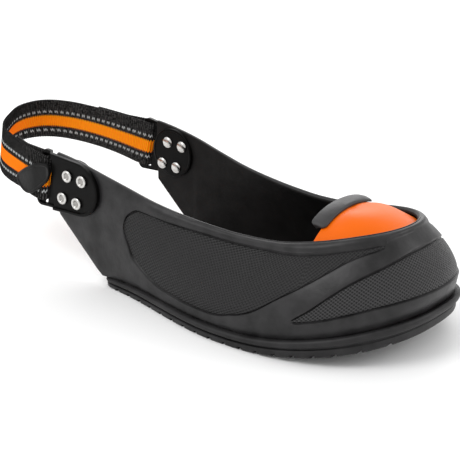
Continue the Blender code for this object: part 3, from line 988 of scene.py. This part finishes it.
def upper_ring(station):
    """Closed profile of the wall at one station: foot, outside, rim, inside and back."""
    tall = (wall_collar(station) - wall_foot(station)).length
    from_end = (station + 1) * -WING_X
    round_off = math.sqrt(1 - (1 - min(1.0, from_end / WING_ROUND)) ** 2) * 0.9 + 0.1
    rows = [(0.0, WALL / 2), (0.0, 0.7), (0.3 / tall, 0.25), (0.9 / tall, 0.0)]
    rows += outer_rows(station)
    line = []
    for t, depth in rows:
        line.append(wall_inside(station, t, WALL / 2 + (depth - WALL / 2) * round_off))
    for turn in spread(0, math.pi, LIP_ROWS + 1)[1:]:
        depth = WALL / 2 * (1 - math.cos(turn) * round_off)
        rise = RIM_HIGH * math.sin(turn) * round_off
        line.append(wall_inside(station, 1.0, depth) + Vector((0, 0, rise)))
    for t in INSIDE:
        line.append(wall_inside(station, t, WALL / 2 + WALL / 2 * round_off))
    line.append(line[0])
    return line


def upper_chart(places, lines):
    """Run along the wall and rise up its profile for every point, in metres."""
    chart = []
    run = 0.0
    last = None
    for k, line in enumerate(lines):
        middle = wall_point(places[k], 0.5)
        if last is not None:
            run += (middle - last).length
        last = middle
        rise = 0.0
        row = []
        for j, point in enumerate(line):
            if j:
                rise += (point - line[j - 1]).length
            row.append((run * MM, rise * MM))
        chart.append(row)
    return chart


def make_upper(*finishes):
    """The wall is a grid rolled into a sleeve along the last, with its panels sunk row by row."""
    places = stations()
    half = [upper_ring(s) for s in places]
    lines = [mirrored(line) for line in half] + half[-2::-1]
    both = places + places[-2::-1]
    chart = upper_chart(both, lines)
    upper, spots = formed_grid("upper_moulded", lines, chart)
    clad(upper, *finishes)
    paint_upper(upper, spots, both)
    close_up(upper)
    stands_for(upper, 50, "upper")


def paint_upper(upper, spots, places):
    """Gives the panels' fields and the inside their own finishes."""
    edge = len(PANEL_EDGE)
    panel = 2 * edge + FIELD_ROWS
    toe_field = range(FOOT_ROWS + edge - 2, FOOT_ROWS + panel - edge + 1)
    side_first = FOOT_ROWS + panel + BAND_ROWS
    side_field = range(side_first + edge - 2, side_first + panel - edge + 1)
    inside_first = side_first + panel + RIM_ROWS + LIP_ROWS // 2 + 1
    for face in upper.data.polygons:
        cells = [spots[v] for v in face.vertices]
        row = min(r for c, r in cells)
        station = max(places[c] for c, r in cells)
        if row >= inside_first:
            face.material_index = 3
        elif row in toe_field and station > TOE_PANEL_TIP[0]:
            face.material_index = 2
        elif row in side_field and SIDE_PANEL_REAR[0] < station <= SIDE_PANEL_FRONT[0]:
            face.material_index = 1


# Toe cap and trim


def cap_line(station):
    """Profile of the cap's outside from its foot up the wall and over the dome to the crown."""
    depth = WALL + CAP_GAP
    line = [wall_inside(station, t, depth) for t in spread(CAP_FOOT, CAP_TOP, CAP_ROWS)]
    rim = line[-1]
    crown = Vector((CROWN_X, 0, CROWN_Z))
    ahead = ease(2.5 * (station - CAP_START) / (2 - CAP_START))
    for f in spread(0, 1, 29)[1:]:
        point = rim.lerp(crown, f)
        rise = 1 - (1 - f) ** CROWN_POWER
        swell = CROWN_SWELL * ahead * math.sin(math.pi * f) ** 2
        point.z = rim.z + (CROWN_Z - rim.z) * rise + swell
        line.append(point)
    return line


def make_toe_cap(finish):
    """A pressed sheet over the toe, thickened inward."""
    half = [cap_line(s) for s in spread(CAP_START, 2.0, 49)]
    lines = [mirrored(line) for line in half] + half[-2::-1]
    chart = [[(p.x * MM, p.y * MM) for p in line] for line in lines]
    cap, _ = formed_grid("toe_cap_pressed", lines, chart)
    edit(cap)
    bpy.ops.mesh.remove_doubles(threshold=0.001 * MM)
    bpy.ops.mesh.select_all(action="SELECT")
    bpy.ops.mesh.normals_make_consistent(inside=False)
    leave()
    apply(cap, "SOLIDIFY", thickness=CAP_WALL * MM, offset=-1, use_even_offset=True)
    clad(cap, finish)
    stands_for(cap, 45, "toe_cap")


def trim_ring(y, rim):
    """Section of the trim at one place across the cap's rear edge."""
    f = 1 - abs(y) / rim.y
    base_x = rim.x + (CROWN_X - rim.x) * f
    z = rim.z + (CROWN_Z - rim.z) * (1 - (1 - f) ** CROWN_POWER)
    slope = (CROWN_Z - rim.z) * CROWN_POWER * (1 - f) ** (CROWN_POWER - 1) / rim.y
    tilt = math.atan(slope) * (1 if y > 0 else -1)
    side = (y / rim.y) ** 2
    to_end = min(y - TRIM_ENDS[0], TRIM_ENDS[1] - y)
    rounding = math.sqrt(1 - (1 - min(1.0, to_end / TRIM_ROUND)) ** 2)
    end = TRIM_END_SIZE + (1 - TRIM_END_SIZE) * rounding
    mid_x, mid_high = TRIM_MID
    ring = []
    for dx, up in TRIM_UNDER + TRIM_TOP:
        x = base_x + mid_x + (dx - mid_x) * end
        high = mid_high + (up - mid_high) * end if up > mid_high else up
        high -= 0.8 * side * (high - 1) if dx > 0 else 0.1 * side * dx
        ring.append(Vector((x, y + high * math.sin(tilt), z + high * math.cos(tilt))))
    return ring + ring[:1]


def make_trim(finish):
    """A strip rolled along the cap's rear edge, with softened edges."""
    rim = cap_line(CAP_START)[CAP_ROWS - 1]
    lines = [trim_ring(y, rim) for y in spread(*TRIM_ENDS, 61)]
    chart = [[(p.y * MM, p.x * MM) for p in line] for line in lines]
    trim, _ = formed_grid("cap_trim_moulded", lines, chart)
    close_up(trim)
    soften(trim, 0.55, 25)
    clad(trim, finish)
    stands_for(trim, 40, "cap_trim")


# Strap and badge


def strap_line(count):
    """Middle of the main run: point, outward and lean at even places from near to far bracket."""
    places = [0.0]
    for a, b in zip(STRAP, STRAP[1:]):
        places.append(places[-1] + math.hypot(b[0] - a[0], b[1] - a[1]))
    table = [(d,) + row for d, row in zip(places, STRAP)]
    main = []
    for d in spread(0, places[-1], count):
        main.append([along(table, d, c) for c in (1, 2, 3, 4)])
    path = []
    for k, (x, y, z, lean) in enumerate(main):
        a = main[max(0, k - 1)]
        b = main[min(count - 1, k + 1)]
        run = Vector((b[0] - a[0], b[1] - a[1], 0)).normalized()
        path.append((Vector((x, y, z)), Vector((-run.y, run.x, 0)), lean))
    return path


def tail_line(path, way, end_x):
    """Fold round the bracket's bar, then the tail inside (-1) or outside (1) the main run."""
    start, out, _ = path[0]
    centre = start + out * way * BAR_R
    first = math.atan2(-out.y * way, -out.x * way)
    tail = []
    for turn in spread(first, math.radians(FOLD_END), 25)[1:]:
        ray = Vector((math.cos(turn), math.sin(turn), 0))
        tail.append((centre + ray * BAR_R, ray * -way, 0))
    for point, normal, lean in path[1:]:
        if point.x < end_x:
            break
        spare = min(1.0, max(0.0, 1 - (start.x - point.x - TAIL_LOOSE) / TAIL_CLOSING))
        near = STRAP_THICK + TAIL_GAP
        away = near + (2 * BAR_R - near) * spare
        tail.append((point + normal * way * away, -normal, -lean))
    return tail


def webbing_frame(point, normal, lean):
    """Directions across the webbing, top edge up, and out of its face."""
    turn = math.radians(lean)
    slant = BAR_SLANT * ease((point.x - SLANT_END_X) / (BAR_X - SLANT_END_X))
    wide = Vector((slant, 0, math.cos(turn))) - normal * math.sin(turn)
    thick = normal * math.cos(turn) + Vector((0, 0, math.sin(turn)))
    return wide, thick


def webbing_section():
    """Flat section with round edges: share of the half width, share of the half thickness."""
    face = [(a, 1.0) for a in spread(0.955, -0.955, 13)]
    edge = [(-0.985, 0.75), (-1.0, 0.3), (-1.0, -0.3), (-0.985, -0.75)]
    other = [(-a, -b) for a, b in face + edge]
    return face + edge + other


def make_strap(finish):
    """Near tail, main run and far tail as one ribbed length of webbing."""
    main = strap_line(STRAP_STEPS)
    near = tail_line(main, -1, TAIL_END_NEAR)
    far = tail_line(main[::-1], 1, TAIL_END_FAR)
    route = near[::-1] + main + far
    section = webbing_section()
    lines = []
    chart = []
    run = 0.0
    for k, (point, normal, lean) in enumerate(route):
        if k:
            run += (point - route[k - 1][0]).length
        wide, thick = webbing_frame(point, normal, lean)
        rib = 1 - RIB_HIGH * (0.5 - 0.5 * math.cos(2 * math.pi * run / RIB_PITCH))
        edge = 1 - EDGE_SCALLOP * (1 - rib) / RIB_HIGH
        line = []
        row = []
        for a, b in section:
            line.append(point + wide * (a * edge * STRAP_WIDTH / 2) + thick * (b * rib * STRAP_THICK / 2))
            row.append((run * MM, 0.5 - a / 2))
        lines.append(line + line[:1])
        chart.append(row + row[:1])
    strap, _ = formed_grid("strap_webbing", lines, chart)
    close_up(strap)
    clad(strap, finish)
    stands_for(strap, 60, "strap")


def badge_ring(ahead):
    """Section of the badge at one place along the strap: a raised rim round a sunk field."""
    x = BADGE_X + ahead
    inner = along(sorted(STRAP[:NEAR_RUN]), x, 1) - STRAP_THICK / 2 - BADGE_LIFT
    low = BADGE_Z + along(BADGE, ahead, 1)
    high = BADGE_Z + along(BADGE, ahead, 2)
    from_end = min(ahead - BADGE[0][0], BADGE[-1][0] - ahead)
    sunk = ease(from_end / BADGE_FADE)
    shrink = min(1.0, (high - low) / BADGE_FULL)
    steps = []
    for rise, out in BADGE_EDGE:
        if rise > BADGE_RIM:
            out = BADGE_THICK + (out - BADGE_THICK) * sunk
        steps.append((rise * shrink, out))
    ring = [Vector((x, inner - out, low + rise)) for rise, out in steps]
    ring += [Vector((x, inner - out, high - rise)) for rise, out in reversed(steps)]
    return ring + ring[:1]


def make_badge(finish):
    """Soft patch that follows the near run of the strap."""
    lines = [badge_ring(a) for a in spread(BADGE[0][0], BADGE[-1][0], 49)]
    chart = [[(p.x * MM, p.z * MM) for p in line] for line in lines]
    badge, _ = formed_grid("strap_badge_patch", lines, chart)
    close_up(badge)
    clad(badge, finish)
    stands_for(badge, 45, "strap_badge")


# Brackets, backing plates and rivets


def bracket_outline(word):
    """Round nose towards the toe and a square loop end towards the strap."""
    nose_r, nose_z, half_z = BRACKETS[word][:3]
    line = []
    for turn in spread(-NOSE_TURN, NOSE_TURN, 33):
        line.append((BRACKET_NOSE_X + nose_r * math.cos(turn), nose_z + nose_r * math.sin(turn)))
    corner = BRACKET_CORNER
    reach = half_z - corner
    for end, first in ((1, 90), (-1, 180)):
        x = BRACKET_REAR_X + corner + BAR_SLANT * end * reach
        for turn in spread(math.radians(first), math.radians(first + 90), 9):
            line.append((x + corner * math.cos(turn), BRACKET_Z + end * reach + corner * math.sin(turn)))
    return [Vector((x, -BRACKET_BACK, z)) for x, z in line]


def slot_cutter(word):
    """Slanted bar for the bracket's strap slot."""
    front_x, half_z = BRACKETS[word][3:]
    middle = front_x - SLOT_LONG / 2
    bpy.ops.object.select_all(action="DESELECT")
    bpy.ops.mesh.primitive_cube_add(size=1)
    cutter = named("slot_cutter")
    for corner in cutter.data.vertices:
        z = corner.co.z * 2 * half_z
        x = middle + corner.co.x * SLOT_LONG + BAR_SLANT * z
        corner.co = placed((x, -BRACKET_BACK + corner.co.y * SLOT_CUT, BRACKET_Z + z))
    return cutter


def step_in(bracket):
    """Steps the loop end in, so that the outer layer of the strap lies level with the bracket."""
    edit(bracket)
    start, stop = [placed((x, 0, 0)).x for x in BRACKET_BEND]
    for place in spread(start, stop, 5):
        bpy.ops.mesh.select_all(action="SELECT")
        bpy.ops.mesh.bisect(plane_co=(place, 0, 0), plane_no=(1, 0, 0))
    leave()
    for corner in bracket.data.vertices:
        corner.co.y += BRACKET_STEP * MM * min(1.0, max(0.0, (start - corner.co.x) / (start - stop)))


def make_bracket(word, finish):
    """A flat outline thickened by hand, with a raised lip round its dish and a slot for the strap."""
    bracket = outlined("bracket_" + word + "_moulded", bracket_outline(word))
    edit(bracket)
    lift_face((0, -(BRACKET_THICK - BRACKET_ROUND), 0))
    for inset, out in BRACKET_EDGE:
        bpy.ops.mesh.inset(thickness=inset * MM, depth=0)
        bpy.ops.transform.translate(value=(0, -out * MM, 0))
    bpy.ops.mesh.select_all(action="SELECT")
    bpy.ops.mesh.normals_make_consistent(inside=False)
    leave()
    cut(bracket, slot_cutter(word))
    if word == "far":
        turn_over(bracket)
    else:
        step_in(bracket)
    clad(bracket, finish)
    stands_for(bracket, 35, "bracket_" + word)


def lay_along_y(piece, x, y, z, toward):
    """Stands a turned piece along y, its top facing outward, at a place of the layout."""
    turn = Matrix.Rotation(math.radians(-90 * toward), 4, "X")
    piece.data.transform(Matrix.Translation(placed((x, y, z))) @ turn)


def make_plates(finish):
    """A round plate with a rounded rim inside each wing."""
    profile = [(PLATE_R, 0.0)]
    profile += [(PLATE_R - inset, -PLATE_THICK + short) for inset, short in PLATE_EDGE]
    for word, side in (("near", -1), ("far", 1)):
        plate = turned("backing_plate_" + word + "_disc", profile, 72)
        lay_along_y(plate, PLATE_MID[0], side * PLATE_FACE, PLATE_MID[1], side)
        clad(plate, finish)
        stands_for(plate, 35, "backing_plate_" + word)


def rivet_profile():
    """Ring head with a sunk middle outside, shank, and a dome head inside, about the wing's face."""
    seat = BRACKET_BACK + BRACKET_THICK - BRACKET_LIP + SEAT_GAP - WING_Y
    inner = PLATE_FACE - PLATE_THICK - WING_Y
    ring = seat + RING_SEAT
    profile = [(0.4, seat + 0.55), (1.5, seat + 0.5), (1.9, ring)]
    for turn in spread(math.radians(150), 0, 9):
        profile.append((RING_R + RING_HALF * math.cos(turn), ring + RING_HIGH * math.sin(turn)))
    profile += [(HEAD_R, seat + 0.2), (HEAD_R - 0.15, seat), (SHANK_R, seat), (SHANK_R, inner)]
    for turn in spread(0, math.radians(86), 9):
        profile.append((HEAD_R * math.cos(turn), inner - HEAD_HIGH * math.sin(turn)))
    return profile


def make_rivets(bright, dark_middle):
    """Four rivets a side, with a darker nickel colour in the sunk middle of each head."""
    for word, side in (("near", -1), ("far", 1)):
        number = 0
        for row in (-0.5, 0.5):
            for column in (-0.5, 0.5):
                number += 1
                x = RIVET_MID[0] + RIVET_ROW * column + RIVET_SKEW * row
                z = RIVET_MID[1] + RIVET_RISE * row - RIVET_FALL * column
                node = "rivet_" + word + "_" + str(number)
                rivet = turned(node + "_set", rivet_profile(), 40)
                clad(rivet, bright, dark_middle)
                for face in rivet.data.polygons:
                    if face.center.z > 0 and face.center.xy.length < RIVET_DISH * MM:
                        face.material_index = 1
                lay_along_y(rivet, x, side * WING_Y, z, side)
                stands_for(rivet, 40, node)


# Studio


def look_through(camera, azimuth, elevation):
    """Turns the camera, without roll, to this azimuth and elevation."""
    a = math.radians(azimuth)
    e = math.radians(elevation)
    right = Vector((math.cos(a), math.sin(a), 0))
    back = Vector((math.sin(a) * math.cos(e), -math.cos(a) * math.cos(e), math.sin(e)))
    up = back.cross(right)
    camera.rotation_mode = "QUATERNION"
    camera.rotation_quaternion = Matrix((right, up, back)).transposed().to_quaternion()


def make_camera():
    lens = bpy.data.cameras.new("camera")
    lens.sensor_width = 36
    lens.lens = CAMERA_LENS
    camera = bpy.data.objects.new("camera", lens)
    camera.location = CAMERA_PLACE
    look_through(camera, *CAMERA_TURN)
    bpy.context.scene.collection.objects.link(camera)
    bpy.context.scene.camera = camera


def make_light(name, place, aim, size, power):
    lamp = bpy.data.lights.new(name, "AREA")
    lamp.size = size
    lamp.energy = power
    light = bpy.data.objects.new(name, lamp)
    light.location = place
    light.rotation_euler = (Vector(aim) - Vector(place)).to_track_quat("-Z", "Y").to_euler()
    bpy.context.scene.collection.objects.link(light)


def make_studio():
    """Pale paper floor, even white surround and three soft lights."""
    bpy.ops.object.select_all(action="DESELECT")
    bpy.ops.mesh.primitive_plane_add(size=12)
    floor = named("floor")
    paper = Finish("floor paper", (0.93, 0.93, 0.93), 0.9)
    paper.colour(paper.mix(paper.noise(400), (0.93, 0.93, 0.93), (0.91, 0.91, 0.91)))
    floor.data.materials.append(paper.material)
    world = bpy.data.worlds.new("studio")
    world.use_nodes = True
    world.node_tree.nodes["Background"].inputs["Color"].default_value = (1, 1, 1, 1)
    world.node_tree.nodes["Background"].inputs["Strength"].default_value = 0.95
    bpy.context.scene.world = world
    for light in LIGHTS:
        make_light(*light)
    bpy.context.scene.view_settings.view_transform = "Standard"


def write_sizes():
    """Brings the placements of the scene up to date."""
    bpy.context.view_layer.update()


def main():
    make_camera()
    make_studio()
    smooth_rubber = rubber("moulded rubber", (0.004, 0.0038, 0.004), (0.02, 0.0192, 0.02), 0.41, 0.33)
    # Painted shade: the inside of the wall is the same rubber, given a darker colour and less shine than
    # the outside for the shade inside the shoe.
    shaded_lining = rubber("shaded inner rubber", (0.006, 0.0054, 0.0053), (0.011, 0.0101, 0.0098), 0.62, 0.14)
    tread = rubber("sole rubber", (0.008, 0.0076, 0.008), (0.021, 0.0202, 0.021), 0.5, 0.26)
    trim_rubber = rubber("trim rubber", (0.025, 0.024, 0.025), (0.034, 0.033, 0.034), 0.48, 0.34)
    make_outsole(tread)
    make_upper(smooth_rubber, hatched_rubber(), woven_rubber(), shaded_lining)
    make_toe_cap(enamel())
    make_trim(trim_rubber)
    make_strap(webbing())
    make_badge(rubber("patch rubber", (0.003, 0.0029, 0.0029), (0.006, 0.0058, 0.0058), 0.46, 0.13))
    black = plastic("black plastic", 0.34)
    for word in ("near", "far"):
        make_bracket(word, black)
    make_plates(black)
    bright = nickel("nickel", (0.68, 0.67, 0.65), (0.54, 0.53, 0.51))
    # Darker nickel for the sunk middle of each rivet head.
    dark_middle = nickel("worn nickel", (0.4, 0.39, 0.37), (0.26, 0.25, 0.24))
    make_rivets(bright, dark_middle)
    write_sizes()


main()
